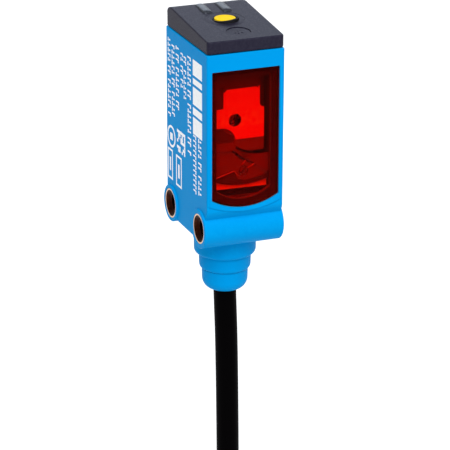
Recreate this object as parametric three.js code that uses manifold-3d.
// Miniature photoelectric sensor: block housing with a red front window, teach button,
// two light pipes, two cross inserts and a short cable that ends in a round four-pin plug.
// Millimetres, +Z up. The origin is midway between the axes of the two cross inserts,
// on the symmetry plane. The window looks along -Y and +X is the object's right side.
import * as THREE from 'three';
import { mergeVertices } from 'three/addons/utils/BufferGeometryUtils.js';
import Module from 'manifold-3d';

const wasm = await Module();
wasm.setup();

// ---- driving dimensions -------------------------------------------------------------
const BODY_WIDTH = 12.2;
const BODY_DEPTH = 17.3;
const BODY_TOP = 27.5;
const BODY_BOTTOM = -2.2;
const BODY_CENTRE_Y = -0.4;
const BODY_DRAFT = 0.1;
const BODY_CORNER = 0.35;
const WALL = 0.9;
const FLOOR = 1.2;

const INSERT_PITCH = 12.0;
const INSERT_RADIUS = 2.3;
const INSERT_BORE = 1.5;
const INSERT_MOUTH = 1.8;
const INSERT_MOUTH_DEPTH = 0.45;
const INSERT_RECESS = 0.08;
const FRONT_BOSS_WALL = 0.7;
const REAR_BOSS_WALL = 0.55;
const BOSS_PROUD = 0.2;
const BOSS_ROOF = 0.4;
const BOSS_CLEAR_HEIGHT = 1.95;
const SCOOP_DEPTH = 0.85;
const SCOOP_LAND = 0.38;

const WINDOW_SIDE_LAND = 0.85;
const WINDOW_TOP_DROP = 2.62;
const WINDOW_FOOT = 5.28;
const WINDOW_SAG = 1.5;
const WINDOW_BORDER = 0.97;
const WINDOW_CORNER = 0.15;
const LIGHT_WAY_CORNER = 0.6;
const WINDOW_THICKNESS = 1.0;
const WINDOW_INSET = 0.1;
const BOND_THICKNESS = 0.12;
const LEDGE_THICKNESS = 0.55;

const COVER_FRONT_HEIGHT = 2.0;
const COVER_REAR_HEIGHT = 3.24;
const COVER_INSET = 0.1;
const COVER_CROWN_END = 2.25;
const COVER_WALL = 0.8;
const COVER_TONGUE = 0.75;
const COVER_CORNER = 0.45;
const ROOM_CORNER = 0.4;
const GASKET_THICKNESS = 0.22;
const GASKET_WIDTH = 0.4;

const BUTTON_Y = -0.5;
const BUTTON_RADIUS = 1.6;
const BUTTON_PROUD = 0.55;
const BUTTON_FLANGE = 0.35;
const BUTTON_TRAVEL = 0.25;
const BUTTON_STEM_RADIUS = 0.8;
const SEAL_REACH = 1.3;
const SEAL_RIM = 0.45;
const SEAL_PROUD = 0.42;
const SEAL_SEAT = 0.35;
const BADGE_Y = -5.75;
const BADGE_RADIUS = 1.8;
const BADGE_DEPTH = 0.15;

const PIPE_OFFSET = 1.55;
const PIPE_WIDTH = 1.5;
const PIPE_PROUD = 0.4;
const PIPE_LEG_DEPTH = 1.5;
const LED_Y = 5.0;
const PIPE_END_LAND = 0.7;
const LED_SIZE = 1.2;
const LED_HEIGHT = 0.7;

const DISPLAY_BOARD_DROP = 1.65;
const BOARD_THICKNESS = 0.8;
const SWITCH_SIZE = 3.4;
const SWITCH_HEIGHT = 0.9;
const PLUNGER_RADIUS = 0.6;
const PLUNGER_HEIGHT = 0.45;
const MAIN_BOARD_Y = 1.8;
const TAIL_HALF = 1.6;
const CAN_HEIGHT = 2.0;
const CAN_SHEET = 0.25;
const CAN_END_LAND = 2.8;
const CHIP_HEIGHT = 0.9;
const DRIVER_WIDTH = 1.7;
const DRIVER_DROP = 0.85;
const DRIVER_LENGTH = 1.4;

const OPTICS_DRAWN_HALF = 4.95;
const OPTICS_DRAWN_LOW = 3.6;
const OPTICS_DRAWN_HIGH = 24.25;
const LASER_AXIS = [-1.0, 16.7];
const SCREW_AXIS = [0.4, 8.75];
const RECEIVER_AXIS = [0.4, 9.6];
const WELL_LEFT = -4.3;
const WELL_RIGHT = 4.4;
const WELL_LOW = 4.93;
const WELL_HIGH = 13.4;
const PLATE_GAP = 0.01;
const PLATE_THICKNESS = 0.15;
const BEAM_HOLE_RADIUS = 0.97;
const STRAP_SETBACK = 0.15;
const STRAP_THICKNESS = 0.1;
const LENS_SETBACK = 0.35;
const LENS_THICKNESS = 0.35;
const TRAY_SETBACK = 0.75;
const TRAY_THICKNESS = 0.95;
const SCREW_SETBACK = 0.45;
const SCREW_RADIUS = 0.58;
const SCREW_LENGTH = 2.2;
const EYE_RADIUS = 1.6;
const FILM_THICKNESS = 0.2;
const FILM_SETBACK = 1.3;
const LASER_CAN_RADIUS = 1.65;
const LASER_BASE_RADIUS = 1.9;
const BARREL_RADIUS = 2.15;
const BARREL_BORE = 1.7;
const LENS_RADIUS = 1.65;

const COLLAR_Y = -0.8;
const COLLAR_WALLS = [[3.0, -6.2], [2.22, -8.65], [1.77, -12.0]];
const COLLAR_EDGE = 0.45;
const SPIGOT_WALL = 1.25;
const CLAMP_WALL = 0.55;
const CABLE_RADIUS = 1.75;
const CABLE_LENGTH = 100;
const CABLE_TOP = 1.3;
const WIRE_RADIUS = 0.42;

const PLUG_X = 0.9;
const PLUG_RELIEF_LENGTH = 9;
const PLUG_GRIP_LENGTH = 19;
const PLUG_GRIP_RADIUS = 4.9;
const PLUG_NECK_RADIUS = 3.6;
const PLUG_NECK_LENGTH = 3.2;
const RING_RADIUS = 7.25;
const RING_KNURL_LENGTH = 9;
const RING_THREAD_RADIUS = 6.0;
const RING_LENGTH = 19;
const RING_BORE = 4.85;
const RING_FLUTES = 12;
const CARRIER_RADIUS = 4.6;
const CARRIER_LENGTH = 8;
const PIN_RADIUS = 0.5;
const PIN_CIRCLE = 2.35;
const PIN_LENGTH = 7.5;
const PIN_ROOT = 1.0;

// ---- clearances ---------------------------------------------------------------------
const PRESS = 0.03;
const SLIDE = 0.08;
const SEATED = 0.05;
const CORD_GAP = 0.3;

// ---- places that follow from the sizes ----------------------------------------------
const FRONT_Y = BODY_CENTRE_Y - BODY_DEPTH / 2;
const BACK_Y = BODY_CENTRE_Y + BODY_DEPTH / 2;
const FRONT_BOSS_RADIUS = INSERT_RADIUS + FRONT_BOSS_WALL;
const REAR_BOSS_RADIUS = INSERT_RADIUS + REAR_BOSS_WALL;
const WINDOW_HALF_WIDTH = BODY_WIDTH / 2 - WINDOW_SIDE_LAND;
const SEAL_RADIUS = BUTTON_RADIUS + SEAL_REACH;
const SEAL_TOP_RADIUS = BUTTON_RADIUS + SEAL_RIM;
const PIPE_FRONT_Y = BUTTON_Y + SEAL_RADIUS;
const SPIGOT_RADIUS = CABLE_RADIUS + SPIGOT_WALL;
const COLLAR_STEPS = COLLAR_WALLS.map(([wall, low]) => [CABLE_RADIUS + wall, low]);
const COLLAR_NOSE = COLLAR_WALLS[COLLAR_WALLS.length - 1][0] - SEATED;
const CAVITY_HALF = BODY_WIDTH / 2 - WALL;
const PANE_FRONT = FRONT_Y + WINDOW_INSET;
const PANE_BACK = PANE_FRONT + WINDOW_THICKNESS;
const BOND_FRONT = PANE_BACK + SEATED / 2;
const LEDGE_FRONT = BOND_FRONT + BOND_THICKNESS + SEATED / 2;
const CAVITY_FRONT = LEDGE_FRONT + LEDGE_THICKNESS;
const CAVITY_BACK = BACK_Y - WALL;
const CAVITY_FLOOR = FRONT_BOSS_RADIUS + BOSS_ROOF;
const WINDOW_TOP = BODY_TOP - WINDOW_TOP_DROP;
const INSERT_FRONT_Y = -INSERT_PITCH / 2;
const INSERT_REAR_Y = INSERT_PITCH / 2;
const BOSS_HALF = BODY_WIDTH / 2 + BOSS_PROUD;
const COVER_BOTTOM = BODY_TOP + GASKET_THICKNESS + SEATED;
const COVER_HALF = BODY_WIDTH / 2 - COVER_INSET;
const COVER_FRONT_Y = FRONT_Y + COVER_INSET;
const COVER_BACK_Y = BACK_Y - COVER_INSET;
const COVER_CROWN_Y = COVER_BACK_Y - COVER_CROWN_END;
const COVER_SLOPE = (COVER_REAR_HEIGHT - COVER_FRONT_HEIGHT) / (COVER_CROWN_Y - COVER_FRONT_Y);
const COVER_CEILING = BODY_TOP + COVER_FRONT_HEIGHT - COVER_WALL;
const BUTTON_TOP = coverTop(BUTTON_Y) + BUTTON_PROUD - 0.2;
const DISPLAY_TOP = BODY_TOP - DISPLAY_BOARD_DROP + BOARD_THICKNESS;
const SWITCH_TOP = DISPLAY_TOP + SEATED + SWITCH_HEIGHT;
const CARRIER_FRONT = CAVITY_FRONT + PLATE_GAP + PLATE_THICKNESS + SEATED;
const CARRIER_BACK = MAIN_BOARD_Y - 1.7;
const CARRIER_HALF = CAVITY_HALF - 0.25;
const CARRIER_BOTTOM = CAVITY_FLOOR + 0.2;
const CARRIER_TOP = DISPLAY_TOP - BOARD_THICKNESS - 1.6;
const COLLAR_END = COLLAR_STEPS[COLLAR_STEPS.length - 1][1];
const PLUG_TOP = COLLAR_END - CABLE_LENGTH - CORD_GAP;

function coverTop(y) {
  return BODY_TOP + COVER_FRONT_HEIGHT + (y - COVER_FRONT_Y) * COVER_SLOPE;
}

// ---- helpers ------------------------------------------------------------------------
const finish = (color, roughness, metalness = 0) =>
  new THREE.MeshStandardMaterial({ color, roughness, metalness });

const COLOURS = {
  blue: finish(0x0096e0, 0.45),
  black: finish(0x2b2c36, 0.6),
  seal: finish(0x1a1a1e, 0.8),
  yellow: finish(0xffd417, 0.45),
  smoke: finish(0x4b5262, 0.2),
  window: finish(0x8c0008, 0.08),
  plate: finish(0xd8d6d0, 0.5),
  carrier: finish(0x3a3236, 0.6),
  lens: finish(0xd8dde0, 0.05),
  board: finish(0x1d5a38, 0.6),
  strap: finish(0xb07a34, 0.45),
  chip: finish(0x1c1c1e, 0.5),
  tin: finish(0xb9bcc0, 0.35, 1),
  brass: finish(0xd9a583, 0.35, 1),
  steel: finish(0xa9acb0, 0.35, 1),
  gold: finish(0xd8b25a, 0.25, 1),
  cable: finish(0x101014, 0.55),
};

function solid(geometry) {
  const bare = geometry.clone();
  bare.deleteAttribute('normal');
  bare.deleteAttribute('uv');
  const merged = mergeVertices(bare, 1e-4);
  return new wasm.Manifold(new wasm.Mesh({
    numProp: 3,
    vertProperties: new Float32Array(merged.attributes.position.array),
    triVerts: new Uint32Array(merged.index.array),
  }));
}

function meshOf(name, manifold, material) {
  const cut = manifold.getMesh();
  const geometry = new THREE.BufferGeometry();
  geometry.setAttribute('position', new THREE.BufferAttribute(new Float32Array(cut.vertProperties), 3));
  geometry.setIndex(new THREE.BufferAttribute(new Uint32Array(cut.triVerts), 1));
  geometry.computeVertexNormals();
  const mesh = new THREE.Mesh(geometry, material);
  mesh.name = name;
  return mesh;
}

const block = (x0, x1, y0, y1, z0, z1) =>
  solid(new THREE.BoxGeometry(x1 - x0, y1 - y0, z1 - z0)
    .translate((x0 + x1) / 2, (y0 + y1) / 2, (z0 + z1) / 2));

const extrude = (shape, depth, curveSegments = 10) =>
  new THREE.ExtrudeGeometry(shape, { depth, bevelEnabled: false, curveSegments });

// A shape drawn in (x, y), raised from z0 to z1.
const alongZ = (shape, z0, z1, curveSegments) =>
  solid(extrude(shape, z1 - z0, curveSegments).translate(0, 0, z0));

// A shape drawn in (x, z), pushed from y0 to y1.
function alongY(shape, y0, y1, curveSegments) {
  const geometry = extrude(shape, y1 - y0, curveSegments).rotateX(Math.PI / 2);
  return solid(geometry.translate(0, y1, 0));
}

// A shape drawn in (y, z), pushed from x0 to x1.
function alongX(shape, x0, x1, curveSegments) {
  const turned = new THREE.Matrix4().set(0, 0, 1, x0, 1, 0, 0, 0, 0, 1, 0, 0, 0, 0, 0, 1);
  return solid(extrude(shape, x1 - x0, curveSegments).applyMatrix4(turned));
}

const rodX = (radius, x0, x1, y, z, sides = 32) =>
  solid(new THREE.CylinderGeometry(radius, radius, x1 - x0, sides)
    .rotateZ(Math.PI / 2).translate((x0 + x1) / 2, y, z));

const rodY = (radius, y0, y1, x, z, sides = 20) =>
  solid(new THREE.CylinderGeometry(radius, radius, y1 - y0, sides)
    .translate(x, (y0 + y1) / 2, z));

const rodZ = (radius, z0, z1, x, y, sides = 20) =>
  solid(new THREE.CylinderGeometry(radius, radius, z1 - z0, sides)
    .rotateX(Math.PI / 2).translate(x, y, (z0 + z1) / 2));

// A body of revolution about a vertical axis, from (radius, height) points.
const turnedZ = (points, x, y, sides = 24) =>
  solid(new THREE.LatheGeometry(points.map(([r, z]) => new THREE.Vector2(r, z)), sides)
    .rotateX(Math.PI / 2).translate(x, y, 0));

function roundedPlan(halfX, y0, y1, r) {
  const plan = new THREE.Shape();
  plan.moveTo(-halfX + r, y0);
  plan.lineTo(halfX - r, y0);
  plan.absarc(halfX - r, y0 + r, r, -Math.PI / 2, 0);
  plan.lineTo(halfX, y1 - r);
  plan.absarc(halfX - r, y1 - r, r, 0, Math.PI / 2);
  plan.lineTo(-halfX + r, y1);
  plan.absarc(-halfX + r, y1 - r, r, Math.PI / 2, Math.PI);
  plan.lineTo(-halfX, y0 + r);
  plan.absarc(-halfX + r, y0 + r, r, Math.PI, Math.PI * 1.5);
  return plan;
}

// The window outline drawn in (x, z): straight top and sides, bowed lower edge.
function windowShape(inset, corner) {
  const half = WINDOW_HALF_WIDTH - inset;
  const top = WINDOW_TOP - inset;
  const side = WINDOW_FOOT + inset;
  const bow = (half * half + WINDOW_SAG * WINDOW_SAG) / (2 * WINDOW_SAG);
  const spread = Math.asin(half / bow);
  const shape = new THREE.Shape();
  shape.moveTo(-half, side);
  shape.absarc(0, side - WINDOW_SAG + bow, bow, -Math.PI / 2 - spread, -Math.PI / 2 + spread);
  shape.lineTo(half, top - corner);
  shape.absarc(half - corner, top - corner, corner, 0, Math.PI / 2);
  shape.lineTo(-half + corner, top);
  shape.absarc(-half + corner, top - corner, corner, Math.PI / 2, Math.PI);
  return shape;
}

const group = new THREE.Group();
const add = (name, manifold, material) => group.add(meshOf(name, manifold, material));

// ---- housing, inserts and window ----------------------------------------------------
function draftShape() {
  const top = BODY_WIDTH / 2;
  const bottom = top - BODY_DRAFT;
  const shape = new THREE.Shape();
  shape.moveTo(-bottom, BODY_BOTTOM);
  shape.lineTo(bottom, BODY_BOTTOM);
  shape.lineTo(top, BODY_TOP);
  shape.lineTo(-top, BODY_TOP);
  return shape;
}

// The hollow below the window: it follows the window's bow and deepens towards the front boss.
function frontScoop() {
  const half = BODY_WIDTH / 2 - SCOOP_LAND;
  const crest = WINDOW_FOOT - WINDOW_SAG - 0.69;
  const side = new THREE.Shape();
  side.moveTo(FRONT_Y - 1, crest + WINDOW_SAG);
  side.lineTo(FRONT_Y + 0.1, crest + WINDOW_SAG);
  side.lineTo(FRONT_Y + 0.15, crest);
  side.lineTo(FRONT_Y + SCOOP_DEPTH, BOSS_CLEAR_HEIGHT);
  side.lineTo(FRONT_Y + SCOOP_DEPTH, 0);
  side.lineTo(FRONT_Y - 1, 0);
  const bow = (half * half + WINDOW_SAG * WINDOW_SAG) / (2 * WINDOW_SAG);
  const spread = Math.asin(half / bow);
  const face = new THREE.Shape();
  face.moveTo(-half, 0);
  face.lineTo(half, 0);
  face.lineTo(half, crest + WINDOW_SAG);
  face.absarc(0, crest + bow, bow, spread - Math.PI / 2, -spread - Math.PI / 2, true);
  return alongX(side, -half, half).intersect(alongY(face, FRONT_Y - 2, FRONT_Y + 2, 12));
}

// Both cross bosses are free round bars: the block stops above them at the front and the rear.
function bossRooms() {
  const half = BOSS_HALF + 1;
  const front = block(-half, half, FRONT_Y - 1, INSERT_FRONT_Y, BODY_BOTTOM - 1, BOSS_CLEAR_HEIGHT);
  return front.add(block(-half, half, INSERT_REAR_Y, BACK_Y + 1, BODY_BOTTOM - 1, 0));
}

function housing() {
  const plan = roundedPlan(BODY_WIDTH / 2, FRONT_Y, BACK_Y, BODY_CORNER);
  let body = alongZ(plan, BODY_BOTTOM, BODY_TOP, 4);
  body = body.intersect(alongY(draftShape(), FRONT_Y - 1, BACK_Y + 1));
  body = body.subtract(frontScoop()).subtract(bossRooms());
  body = body.add(rodX(FRONT_BOSS_RADIUS, -BOSS_HALF, BOSS_HALF, INSERT_FRONT_Y, 0));
  body = body.add(rodX(REAR_BOSS_RADIUS, -BOSS_HALF, BOSS_HALF, INSERT_REAR_Y, 0));
  const cavity = roundedPlan(CAVITY_HALF, CAVITY_FRONT, CAVITY_BACK, ROOM_CORNER);
  body = body.subtract(alongZ(cavity, CAVITY_FLOOR, BODY_TOP + 1, 3));
  const wellFront = INSERT_FRONT_Y + FRONT_BOSS_RADIUS + 0.1;
  const wellBack = INSERT_REAR_Y - REAR_BOSS_RADIUS - 0.1;
  body = body.subtract(block(-CAVITY_HALF, CAVITY_HALF, wellFront, wellBack,
    BODY_BOTTOM + FLOOR, CAVITY_FLOOR + 1));
  body = body.subtract(alongY(windowShape(-SLIDE, WINDOW_CORNER), FRONT_Y - 1, LEDGE_FRONT, 5));
  const lightWay = windowShape(WINDOW_BORDER, LIGHT_WAY_CORNER);
  body = body.subtract(alongY(lightWay, FRONT_Y, CAVITY_FRONT + 0.1, 5));
  for (const y of [INSERT_FRONT_Y, INSERT_REAR_Y]) {
    body = body.subtract(rodX(INSERT_RADIUS + PRESS, -BOSS_HALF - 1, BOSS_HALF + 1, y, 0));
  }
  return body.subtract(rodZ(SPIGOT_RADIUS + PRESS, BODY_BOTTOM - 1, CAVITY_FLOOR, 0, COLLAR_Y, 32));
}

function threadInsert(y) {
  const half = BOSS_HALF - INSERT_RECESS;
  const inner = half - INSERT_MOUTH_DEPTH;
  const profile = [[INSERT_MOUTH, -half], [INSERT_RADIUS, -half], [INSERT_RADIUS, half],
    [INSERT_MOUTH, half], [INSERT_BORE, inner], [INSERT_BORE, -inner], [INSERT_MOUTH, -half]];
  const points = profile.map(([r, h]) => new THREE.Vector2(r, h));
  const ring = new THREE.LatheGeometry(points, 32).rotateZ(-Math.PI / 2).translate(0, y, 0);
  return solid(ring);
}

const windowPane = () => alongY(windowShape(0, WINDOW_CORNER), PANE_FRONT, PANE_BACK, 5);

function windowBond() {
  const ring = alongY(windowShape(SLIDE, WINDOW_CORNER), BOND_FRONT, BOND_FRONT + BOND_THICKNESS, 5);
  const hole = windowShape(WINDOW_BORDER - SLIDE, LIGHT_WAY_CORNER);
  return ring.subtract(alongY(hole, BOND_FRONT - 1, BOND_FRONT + 1, 5));
}

// ---- cover, seal, button and light pipes ---------------------------------------------
// The cover's side outline in (y, z): level foot, sloping top, rounded rear edge.
function coverOutline(rise = 0) {
  const shape = new THREE.Shape();
  const rear = BODY_TOP + COVER_REAR_HEIGHT + rise;
  const knee = BODY_TOP + COVER_FRONT_HEIGHT;
  shape.moveTo(COVER_FRONT_Y, COVER_BOTTOM);
  shape.lineTo(COVER_BACK_Y + rise, COVER_BOTTOM);
  shape.lineTo(COVER_BACK_Y + rise, knee);
  shape.quadraticCurveTo(COVER_BACK_Y + rise, rear - 0.12, COVER_CROWN_Y, rear);
  shape.lineTo(COVER_FRONT_Y, knee + rise);
  return shape;
}

// Room for a light pipe, grown by a clearance: a slot along the top and a leg hole.
function pipeSolid(x, grow) {
  const half = PIPE_WIDTH / 2 + grow;
  const arch = new THREE.Shape();
  arch.moveTo(x - half, COVER_BOTTOM);
  arch.lineTo(x + half, COVER_BOTTOM);
  arch.lineTo(x + half, BODY_TOP + COVER_REAR_HEIGHT + PIPE_PROUD - half);
  arch.absarc(x, BODY_TOP + COVER_REAR_HEIGHT + PIPE_PROUD - half, half, 0, Math.PI);
  const side = coverOutline(PIPE_PROUD);
  const bar = alongY(arch, PIPE_FRONT_Y - grow, COVER_BACK_Y + 2, 8)
    .intersect(alongX(side, x - half, x + half, 8))
    .intersect(block(x - half, x + half, PIPE_FRONT_Y - grow, COVER_BACK_Y - PIPE_END_LAND + grow,
      coverTop(PIPE_FRONT_Y) - 0.9 - grow, BODY_TOP + COVER_REAR_HEIGHT + 1));
  const leg = block(x - half, x + half, LED_Y - PIPE_LEG_DEPTH / 2 - grow,
    LED_Y + PIPE_LEG_DEPTH / 2 + grow, DISPLAY_TOP + LED_HEIGHT + 0.3 - grow, coverTop(LED_Y));
  return bar.add(leg);
}

function cover() {
  const plan = roundedPlan(COVER_HALF, COVER_FRONT_Y, COVER_BACK_Y, COVER_CORNER);
  let lid = alongX(coverOutline(), -COVER_HALF, COVER_HALF, 6);
  lid = lid.intersect(alongZ(plan, COVER_BOTTOM - 1, BODY_TOP + COVER_REAR_HEIGHT + 1, 4));
  const tongueHalf = CAVITY_HALF - SLIDE;
  const tongue = roundedPlan(tongueHalf, CAVITY_FRONT + SLIDE, CAVITY_BACK - SLIDE, ROOM_CORNER);
  lid = lid.add(alongZ(tongue, BODY_TOP - COVER_TONGUE, COVER_BOTTOM + 0.2, 3));
  const inside = roundedPlan(tongueHalf - COVER_WALL, CAVITY_FRONT + SLIDE + COVER_WALL,
    CAVITY_BACK - SLIDE - COVER_WALL, 0.3);
  lid = lid.subtract(alongZ(inside, BODY_TOP - COVER_TONGUE - 1, COVER_CEILING, 3));
  const seat = coverTop(BUTTON_Y) - SEAL_SEAT;
  lid = lid.subtract(rodZ(SEAL_RADIUS + SEATED, seat - SEATED, seat + 3, 0, BUTTON_Y, 28));
  lid = lid.subtract(rodZ(BUTTON_RADIUS + BUTTON_FLANGE + SLIDE, COVER_CEILING - 1, seat + 1, 0, BUTTON_Y));
  const badgeFloor = coverTop(BADGE_Y) - BADGE_DEPTH;
  lid = lid.subtract(rodZ(BADGE_RADIUS, badgeFloor, badgeFloor + 2, 0, BADGE_Y, 24));
  for (const x of [-PIPE_OFFSET, PIPE_OFFSET]) {
    lid = lid.subtract(pipeSolid(x, PRESS));
  }
  return lid;
}

function coverGasket() {
  const outer = CAVITY_HALF + SEATED + GASKET_WIDTH;
  const front = CAVITY_FRONT - SEATED - GASKET_WIDTH;
  const back = CAVITY_BACK + SEATED + GASKET_WIDTH;
  const low = BODY_TOP + SEATED / 2;
  const ring = alongZ(roundedPlan(outer, front, back, 0.6), low, low + GASKET_THICKNESS, 3);
  const hole = roundedPlan(outer - GASKET_WIDTH, front + GASKET_WIDTH, back - GASKET_WIDTH, 0.3);
  return ring.subtract(alongZ(hole, low - 1, low + 1, 3));
}

// The black elastomer ring round the button: a flat skirt that rises to a flat-topped rim.
function buttonSeal() {
  const seat = coverTop(BUTTON_Y) - SEAL_SEAT;
  const bore = BUTTON_RADIUS + SLIDE;
  const top = coverTop(BUTTON_Y) + SEAL_PROUD - 0.15;
  const profile = [[bore, seat], [SEAL_RADIUS, seat], [SEAL_RADIUS, seat + 0.3],
    [SEAL_TOP_RADIUS + 0.25, seat + 0.38], [SEAL_TOP_RADIUS, top], [bore, top], [bore, seat]];
  return turnedZ(profile, 0, BUTTON_Y, 28);
}

function teachButton() {
  const flangeTop = coverTop(BUTTON_Y) - SEAL_SEAT - 2 * SEATED;
  const stemEnd = SWITCH_TOP + PLUNGER_HEIGHT + SEATED;
  const profile = [[0, stemEnd], [BUTTON_STEM_RADIUS, stemEnd], [BUTTON_STEM_RADIUS, flangeTop - 0.4],
    [BUTTON_RADIUS + BUTTON_FLANGE, flangeTop - 0.4], [BUTTON_RADIUS + BUTTON_FLANGE, flangeTop],
    [BUTTON_RADIUS, flangeTop], [BUTTON_RADIUS, BUTTON_TOP - 0.12],
    [BUTTON_RADIUS - 0.15, BUTTON_TOP], [0, BUTTON_TOP]];
  return turnedZ(profile, 0, BUTTON_Y, 20);
}

// ---- boards and what stands on them ---------------------------------------------------
function displayBoard() {
  const half = CAVITY_HALF - 0.35;
  const plan = roundedPlan(half, CAVITY_FRONT + 0.7, CAVITY_BACK - 0.4, 0.5);
  return alongZ(plan, DISPLAY_TOP - BOARD_THICKNESS, DISPLAY_TOP, 3);
}

function switchBody() {
  const half = SWITCH_SIZE / 2;
  const low = DISPLAY_TOP + SEATED;
  const shell = block(-half, half, BUTTON_Y - half, BUTTON_Y + half, low, SWITCH_TOP);
  return shell.subtract(rodZ(PLUNGER_RADIUS + SLIDE, low + 0.2, SWITCH_TOP + 1, 0, BUTTON_Y, 20));
}

function switchPlunger() {
  const low = DISPLAY_TOP + SEATED + 0.2 + BUTTON_TRAVEL + SEATED;
  return rodZ(PLUNGER_RADIUS, low, SWITCH_TOP + PLUNGER_HEIGHT, 0, BUTTON_Y, 20);
}

function statusLamp(x) {
  const half = LED_SIZE / 2;
  return block(x - half, x + half, LED_Y - half, LED_Y + half,
    DISPLAY_TOP + SEATED, DISPLAY_TOP + LED_HEIGHT);
}

const boardHalf = CAVITY_HALF - 0.3;
const mainBoardTop = DISPLAY_TOP - BOARD_THICKNESS - 0.6;
const mainBoard = () => block(-boardHalf, boardHalf, MAIN_BOARD_Y, MAIN_BOARD_Y + BOARD_THICKNESS,
  CAVITY_FLOOR + 0.4, mainBoardTop);

// A thin flexible tail that joins the two boards behind the main board's top edge.
function boardTail() {
  const back = MAIN_BOARD_Y + BOARD_THICKNESS + SEATED;
  const high = DISPLAY_TOP - BOARD_THICKNESS - SEATED;
  const shape = new THREE.Shape();
  shape.moveTo(back, mainBoardTop - 2);
  shape.lineTo(back + 0.2, mainBoardTop - 2);
  shape.lineTo(back + 0.2, high - 0.7);
  shape.absarc(back + 0.7, high - 0.7, 0.5, Math.PI, Math.PI / 2, true);
  shape.lineTo(back + 2.4, high - 0.2);
  shape.lineTo(back + 2.4, high);
  shape.lineTo(back + 0.7, high);
  shape.absarc(back + 0.7, high - 0.7, 0.7, Math.PI / 2, Math.PI);
  return alongX(shape, -TAIL_HALF, TAIL_HALF, 4);
}

const boardBack = MAIN_BOARD_Y + BOARD_THICKNESS + SEATED;
const CAN_LOW = CAVITY_FLOOR + 8.8;
const CAN_HIGH = mainBoardTop - CAN_END_LAND - 0.85;

function shieldCan() {
  const half = boardHalf - 1.3;
  const room = half - CAN_SHEET;
  const can = block(-half, half, boardBack, boardBack + CAN_HEIGHT, CAN_LOW, CAN_HIGH);
  return can.subtract(block(-room, room, boardBack - 1, boardBack + CAN_HEIGHT - CAN_SHEET,
    CAN_LOW + CAN_SHEET, CAN_HIGH - CAN_SHEET));
}

const chip = (x0, x1, z0, z1, height) => block(x0, x1, boardBack, boardBack + height, z0, z1);

// A small regulator or driver in an upper corner of the main board; side is -1 or 1.
function cornerChip(side) {
  const outer = side * (boardHalf - 0.6);
  const inner = side * (boardHalf - 0.6 - DRIVER_WIDTH);
  const high = mainBoardTop - DRIVER_DROP;
  return chip(Math.min(outer, inner), Math.max(outer, inner), high - DRIVER_LENGTH, high, CHIP_HEIGHT + 0.1);
}

// ---- optics --------------------------------------------------------------------------
// The optics are drawn in (x, z) for one carrier size and spread to the carrier's real size.
const across = (x) => x * (CARRIER_HALF / OPTICS_DRAWN_HALF);
const OPTICS_RISE = (CARRIER_TOP - CARRIER_BOTTOM) / (OPTICS_DRAWN_HIGH - OPTICS_DRAWN_LOW);
const upward = (z) => CARRIER_BOTTOM + (z - OPTICS_DRAWN_LOW) * OPTICS_RISE;
const spot = ([x, z]) => [across(x), upward(z)];
const point = (x, z) => new THREE.Vector2(across(x), upward(z));

const opticsRod = (radius, y0, y1, axis, sides) => rodY(radius, y0, y1, ...spot(axis), sides);
const opticsBlock = (x0, x1, y0, y1, z0, z1) =>
  block(across(x0), across(x1), y0, y1, upward(z0), upward(z1));

function opticsCarrier() {
  let body = block(-CARRIER_HALF, CARRIER_HALF, CARRIER_FRONT, CARRIER_BACK, CARRIER_BOTTOM, CARRIER_TOP);
  body = body.subtract(opticsRod(BARREL_RADIUS + PRESS, CARRIER_FRONT - 1, CARRIER_BACK + 1, LASER_AXIS));
  body = body.subtract(opticsBlock(WELL_LEFT, WELL_RIGHT, CARRIER_FRONT - 1, CARRIER_BACK - 0.8,
    WELL_LOW, WELL_HIGH));
  body = body.subtract(opticsBlock(WELL_RIGHT - 0.65, WELL_RIGHT, CARRIER_FRONT - 1, CARRIER_FRONT + 2.2,
    WELL_HIGH - 1, 23.2));
  return body.subtract(opticsRod(EYE_RADIUS, CARRIER_BACK - 1.5, CARRIER_BACK + 1, RECEIVER_AXIS));
}

// The bright sheet plate behind the window, with the beam hole and its bent lower part.
function aperturePlate() {
  const corners = [[-2.48, 21.59], [-2.58, 21.29], [-2.93, 21.19], [-2.93, 18.89], [-3.13, 18.69],
    [-4.2, 18.66], [-4.2, 15.84], [-3.23, 15.76]];
  const hollow = [[-2.2, 15.5], [-1.45, 14.9], [-1.1, 14.2], [-1.03, 13.86]];
  const right = [[3.47, 13.86], [3.47, 18.44], [3.02, 18.65], [2.77, 19.14], [2.77, 21.84],
    [2.49, 21.44], [2.22, 21.64]];
  const shape = new THREE.Shape([...corners, ...hollow, ...right].map(([x, z]) => point(x, z)));
  const plateBack = CARRIER_FRONT - SEATED;
  const sheet = alongY(shape, plateBack - PLATE_THICKNESS, plateBack);
  return sheet.subtract(opticsRod(BEAM_HOLE_RADIUS, plateBack - 1, plateBack + 1, LASER_AXIS, 24));
}

function lensBarrel() {
  const tubeBack = CARRIER_BACK - 0.6;
  const outer = opticsRod(BARREL_RADIUS, CARRIER_FRONT + 0.3, tubeBack, LASER_AXIS);
  return outer.subtract(opticsRod(BARREL_BORE, CARRIER_FRONT - 1, CARRIER_BACK + 1, LASER_AXIS));
}

function collimatorLens() {
  const points = [[0, 0], [LENS_RADIUS, 0], [LENS_RADIUS, 0.7], [1.2, 1.05], [0.7, 1.22], [0, 1.3]];
  const [x, z] = spot(LASER_AXIS);
  return solid(new THREE.LatheGeometry(points.map(([r, h]) => new THREE.Vector2(r, h)), 24)
    .translate(x, CARRIER_FRONT + 1.0, z));
}

function laserCan() {
  const back = CARRIER_BACK - 0.4;
  const can = opticsRod(LASER_CAN_RADIUS - 0.15, back - 2.2, back, LASER_AXIS, 24);
  return can.add(opticsRod(LASER_BASE_RADIUS, back - 0.1, back + 0.9, LASER_AXIS, 24));
}

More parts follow.
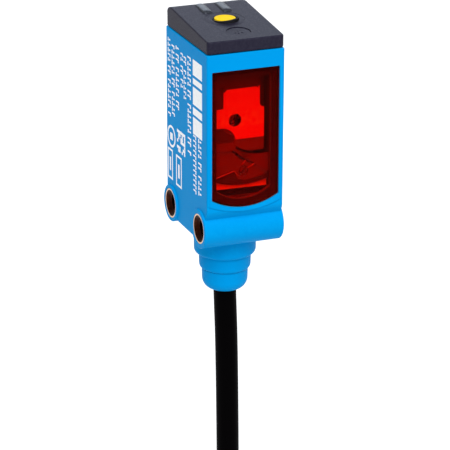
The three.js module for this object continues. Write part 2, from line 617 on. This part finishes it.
const screwWay = () => opticsRod(SCREW_RADIUS + SLIDE, CARRIER_FRONT - 1, CARRIER_FRONT + 4, SCREW_AXIS);

// The moulded receiver lens, drawn in (x, z), with a bowed lower edge.
function receiverLens() {
  const left = point(WELL_LEFT + 0.2, WELL_LOW + 2.6);
  const middle = point(0, WELL_LOW + 0.75);
  const right = point(WELL_RIGHT - 0.2, WELL_LOW + 2.3);
  const top = upward(WELL_HIGH - 0.15);
  const shape = new THREE.Shape();
  shape.moveTo(left.x, left.y);
  shape.quadraticCurveTo(middle.x, middle.y, right.x, right.y);
  shape.lineTo(right.x, top);
  shape.lineTo(left.x, top);
  const front = CARRIER_FRONT + LENS_SETBACK;
  return alongY(shape, front, front + LENS_THICKNESS, 14).subtract(screwWay());
}

function lensTray() {
  const front = CARRIER_FRONT + TRAY_SETBACK;
  return opticsBlock(WELL_LEFT + 0.15, WELL_RIGHT - 0.15, front, front + TRAY_THICKNESS,
    WELL_LOW + 1.05, WELL_HIGH - 1.2).subtract(screwWay());
}

function carrierScrew() {
  const front = CARRIER_FRONT + SCREW_SETBACK;
  const head = opticsRod(SCREW_RADIUS, front, front + SCREW_LENGTH, SCREW_AXIS);
  const [x, z] = spot(SCREW_AXIS);
  return head.subtract(block(x - 1, x + 1, front - 1, front + 0.2, z - 0.07, z + 0.07));
}

// The ribbon that crosses the receiver diagonally, drawn in (x, z).
function flexStrap() {
  const upper = [[-4.15, 13.2], [-2.5, 13.2], [-1.4, 12.95], [-0.7, 12.25], [0.2, 11.65], [1.4, 11.25],
    [2.8, 11.15], [4.25, 11.15]];
  const lower = [[4.25, 8.35], [3.6, 8.45], [2.9, 8.95], [2.3, 9.55], [1.4, 10.0], [0.2, 10.5],
    [-0.9, 11.35], [-1.9, 12.3], [-2.6, 12.55], [-4.15, 12.6]];
  const shape = new THREE.Shape([...upper, ...lower].map(([x, z]) => point(x, z)));
  const front = CARRIER_FRONT + STRAP_SETBACK;
  return alongY(shape, front, front + STRAP_THICKNESS);
}

const receiverBoard = () => opticsBlock(WELL_LEFT + 0.1, WELL_RIGHT - 0.1, CARRIER_BACK + SEATED,
  CARRIER_BACK + SEATED + 0.6, WELL_LOW + 0.27, WELL_HIGH + 0.2);

function photodiode() {
  const [x, z] = spot(RECEIVER_AXIS);
  return block(x - 1.1, x + 1.1, CARRIER_BACK - 0.7, CARRIER_BACK, z - 1, z + 1);
}

const filterFilm = () => opticsRod(EYE_RADIUS - 0.1, CARRIER_BACK - FILM_SETBACK,
  CARRIER_BACK - FILM_SETBACK + FILM_THICKNESS, RECEIVER_AXIS);

// ---- cable exit, cable and plug --------------------------------------------------------
function cableCollar() {
  const top = BODY_BOTTOM - SEATED;
  const bore = CABLE_RADIUS + PRESS;
  const points = [[bore, COLLAR_END], [bore, BODY_BOTTOM + FLOOR - 0.2],
    [SPIGOT_RADIUS, BODY_BOTTOM + FLOOR - 0.2], [SPIGOT_RADIUS, top]];
  COLLAR_STEPS.forEach(([radius, low], index) => {
    const last = index === COLLAR_STEPS.length - 1;
    const edge = last ? COLLAR_NOSE : COLLAR_EDGE;
    const edgeSteps = last ? 4 : 2;
    points.push([radius, index === 0 ? top : COLLAR_STEPS[index - 1][1]]);
    for (let step = 0; step <= edgeSteps; step += 1) {
      const turn = (step / edgeSteps) * (Math.PI / 2);
      points.push([radius - edge + edge * Math.cos(turn), low + edge - edge * Math.sin(turn)]);
    }
  });
  points.push([bore, COLLAR_END]);
  const collar = turnedZ(points.reverse(), 0, COLLAR_Y, 32);
  return collar
    .subtract(rodX(FRONT_BOSS_RADIUS + SEATED, -BOSS_HALF, BOSS_HALF, INSERT_FRONT_Y, 0))
    .subtract(rodX(REAR_BOSS_RADIUS + SEATED, -BOSS_HALF, BOSS_HALF, INSERT_REAR_Y, 0));
}

function cableClamp() {
  const low = BODY_BOTTOM + FLOOR - 0.1;
  const ring = rodZ(CABLE_RADIUS + CLAMP_WALL, low, low + 1.8, 0, COLLAR_Y, 28);
  return ring.subtract(rodZ(CABLE_RADIUS + PRESS, low - 1, low + 3, 0, COLLAR_Y, 28));
}

function tube(points, radius, sides, steps) {
  const section = new THREE.Shape();
  for (let side = 0; side < sides; side += 1) {
    const turn = (side / sides) * Math.PI * 2;
    const move = side === 0 ? 'moveTo' : 'lineTo';
    section[move](radius * Math.cos(turn), radius * Math.sin(turn));
  }
  const path = new THREE.CatmullRomCurve3(points.map((p) => new THREE.Vector3(...p)));
  return solid(new THREE.ExtrudeGeometry(section, { steps, extrudePath: path, bevelEnabled: false }));
}

// The cable hangs straight out of the collar and settles a little to the right.
const CABLE_ROUTE = [
  [0, COLLAR_Y, CABLE_TOP], [0, COLLAR_Y, -4], [0, COLLAR_Y, -9], [0.01, COLLAR_Y, -12],
  [0.1, COLLAR_Y, -15], [0.25, COLLAR_Y, -19], [0.39, COLLAR_Y, -25], [0.5, COLLAR_Y, -32],
  [0.6, COLLAR_Y, -40], [0.69, COLLAR_Y, -49], [0.77, COLLAR_Y, -59], [0.83, COLLAR_Y, -70],
  [0.87, COLLAR_Y, -81], [0.89, COLLAR_Y, -92], [0.9, COLLAR_Y, -102], [PLUG_X, COLLAR_Y, PLUG_TOP + CORD_GAP],
];

const WIRES = [['wire_brown', -0.55, -0.55, 0x6b3a1e], ['wire_white', 0.55, -0.55, 0xe8e8e4],
  ['wire_blue', -0.55, 0.55, 0x1f5fbf], ['wire_black', 0.55, 0.55, 0x18181a]];

// Each conductor leaves the jacket and bends up to the main board's lower edge.
function wire(dx, dy) {
  const start = CABLE_TOP + CORD_GAP / 2;
  const landing = MAIN_BOARD_Y - WIRE_RADIUS - 0.1;
  const spread = dx > 0 ? 1 : -1;
  const row = dy > 0 ? 0.9 : 2.4;
  return tube([[dx, COLLAR_Y + dy, start], [dx, COLLAR_Y + dy, start + 0.5],
    [spread * row, landing - 0.5, start + 1.5], [spread * row, landing, start + 2.6],
    [spread * row, landing, start + 4.6]], WIRE_RADIUS, 6, 8);
}

function plugGrip() {
  const points = [[0, PLUG_TOP], [2.4, PLUG_TOP], [2.7, PLUG_TOP - 0.4]];
  const ribs = 3;
  const ribPitch = (PLUG_RELIEF_LENGTH - 1.4) / ribs;
  for (let rib = 0; rib < ribs; rib += 1) {
    const high = PLUG_TOP - 0.9 - rib * ribPitch;
    const radius = 2.75 + rib * 0.22;
    points.push([radius, high], [radius, high - ribPitch * 0.6]);
    points.push([radius - 0.35, high - ribPitch * 0.68], [radius - 0.35, high - ribPitch * 0.92]);
  }
  const shoulder = PLUG_TOP - PLUG_RELIEF_LENGTH;
  const gripEnd = PLUG_TOP - PLUG_GRIP_LENGTH;
  points.push([PLUG_GRIP_RADIUS - 1.0, shoulder], [PLUG_GRIP_RADIUS, shoulder - 1.6]);
  points.push([PLUG_GRIP_RADIUS, gripEnd + 0.3], [PLUG_GRIP_RADIUS - 0.3, gripEnd]);
  points.push([PLUG_NECK_RADIUS, gripEnd], [PLUG_NECK_RADIUS, gripEnd - PLUG_NECK_LENGTH]);
  points.push([0, gripEnd - PLUG_NECK_LENGTH]);
  return turnedZ(points.reverse(), PLUG_X, COLLAR_Y, 20);
}

const RING_TOP = PLUG_TOP - PLUG_GRIP_LENGTH - CORD_GAP;
const NECK_END = PLUG_TOP - PLUG_GRIP_LENGTH - PLUG_NECK_LENGTH;

function plugRing() {
  const knurlEnd = RING_TOP - RING_KNURL_LENGTH;
  const end = RING_TOP - RING_LENGTH;
  const neckBore = PLUG_NECK_RADIUS + CORD_GAP;
  const shelf = NECK_END + CORD_GAP;
  const points = [[neckBore, RING_TOP], [neckBore, shelf], [RING_BORE, shelf], [RING_BORE, end],
    [RING_THREAD_RADIUS - 0.4, end], [RING_THREAD_RADIUS, end + 0.5],
    [RING_THREAD_RADIUS, knurlEnd + 0.9], [RING_THREAD_RADIUS - 0.5, knurlEnd + 0.5],
    [RING_THREAD_RADIUS - 0.5, knurlEnd], [RING_RADIUS - 0.4, knurlEnd], [RING_RADIUS, knurlEnd + 0.5],
    [RING_RADIUS, RING_TOP - 0.6], [RING_RADIUS - 0.6, RING_TOP], [neckBore, RING_TOP]];
  let ring = turnedZ(points, PLUG_X, COLLAR_Y, 24);
  for (let flute = 0; flute < RING_FLUTES; flute += 1) {
    const turn = (flute / RING_FLUTES) * Math.PI * 2;
    const reach = RING_RADIUS + 0.35;
    ring = ring.subtract(rodZ(0.65, knurlEnd + 0.9, RING_TOP + 1,
      PLUG_X + reach * Math.cos(turn), COLLAR_Y + reach * Math.sin(turn), 6));
  }
  return ring;
}

const CARRIER_FACE = NECK_END - SEATED - CARRIER_LENGTH;
const pinPlaces = [45, 135, 225, 315].map((degrees) => {
  const turn = THREE.MathUtils.degToRad(degrees);
  return [PLUG_X + PIN_CIRCLE * Math.cos(turn), COLLAR_Y + PIN_CIRCLE * Math.sin(turn)];
});

function pinCarrier() {
  let body = rodZ(CARRIER_RADIUS, CARRIER_FACE, NECK_END - SEATED, PLUG_X, COLLAR_Y, 24);
  body = body.subtract(block(PLUG_X - 0.6, PLUG_X + 0.6, COLLAR_Y - CARRIER_RADIUS - 1,
    COLLAR_Y - CARRIER_RADIUS + 0.7, CARRIER_FACE - 1, CARRIER_FACE + 4));
  for (const [x, y] of pinPlaces) {
    body = body.subtract(rodZ(PIN_RADIUS + PRESS, CARRIER_FACE - 1, CARRIER_FACE + PIN_ROOT + SEATED, x, y, 10));
  }
  return body;
}

function contactPin([x, y]) {
  const end = CARRIER_FACE - PIN_LENGTH;
  return turnedZ([[0, end], [PIN_RADIUS - 0.25, end], [PIN_RADIUS, end + 0.5],
    [PIN_RADIUS, CARRIER_FACE + PIN_ROOT], [0, CARRIER_FACE + PIN_ROOT]], x, y, 10);
}

// ---- assembly ------------------------------------------------------------------------
add('housing', housing(), COLOURS.blue);
add('thread_insert_front', threadInsert(INSERT_FRONT_Y), COLOURS.brass);
add('thread_insert_rear', threadInsert(INSERT_REAR_Y), COLOURS.brass);
add('front_window', windowPane(), COLOURS.window);
add('window_bond', windowBond(), COLOURS.seal);
add('top_cover', cover(), COLOURS.black);
add('cover_gasket', coverGasket(), COLOURS.seal);
add('button_seal', buttonSeal(), COLOURS.seal);
add('teach_button', teachButton(), COLOURS.yellow);
add('light_pipe_left', pipeSolid(-PIPE_OFFSET, 0), COLOURS.smoke);
add('light_pipe_right', pipeSolid(PIPE_OFFSET, 0), COLOURS.smoke);
add('display_board', displayBoard(), COLOURS.board);
add('switch_body', switchBody(), COLOURS.chip);
add('switch_plunger', switchPlunger(), COLOURS.plate);
add('lamp_green', statusLamp(-PIPE_OFFSET), finish(0x9fd8a8, 0.3));
add('lamp_yellow', statusLamp(PIPE_OFFSET), finish(0xe8d070, 0.3));
add('main_board', mainBoard(), COLOURS.board);
add('board_tail', boardTail(), COLOURS.strap);
add('shield_can', shieldCan(), COLOURS.tin);
add('processor_chip', chip(-2.2, 2.2, CAVITY_FLOOR + 2.8, CAVITY_FLOOR + 7.2, CHIP_HEIGHT), COLOURS.chip);
add('output_driver', cornerChip(1), COLOURS.chip);
add('supply_regulator', cornerChip(-1), COLOURS.chip);
add('optics_carrier', opticsCarrier(), COLOURS.carrier);
add('aperture_plate', aperturePlate(), COLOURS.plate);
add('lens_barrel', lensBarrel(), COLOURS.brass);
add('collimator_lens', collimatorLens(), COLOURS.lens);
add('laser_can', laserCan(), COLOURS.gold);
add('receiver_lens', receiverLens(), COLOURS.carrier);
add('lens_tray', lensTray(), COLOURS.plate);
add('carrier_screw', carrierScrew(), COLOURS.steel);
add('flex_strap', flexStrap(), COLOURS.strap);
add('filter_film', filterFilm(), COLOURS.lens);
add('photodiode', photodiode(), COLOURS.chip);
add('receiver_board', receiverBoard(), COLOURS.board);
add('cable_collar', cableCollar(), COLOURS.blue);
add('cable_clamp', cableClamp(), COLOURS.brass);
add('cable_jacket', tube(CABLE_ROUTE, CABLE_RADIUS, 8, 16), COLOURS.cable);
for (const [name, dx, dy, colour] of WIRES) {
  add(name, wire(dx, dy), finish(colour, 0.5));
}
add('plug_grip', plugGrip(), COLOURS.cable);
add('plug_ring', plugRing(), COLOURS.steel);
add('pin_carrier', pinCarrier(), COLOURS.chip);
pinPlaces.forEach((place, index) => {
  add(`contact_pin_${index + 1}`, contactPin(place), COLOURS.gold);
});

export default group;
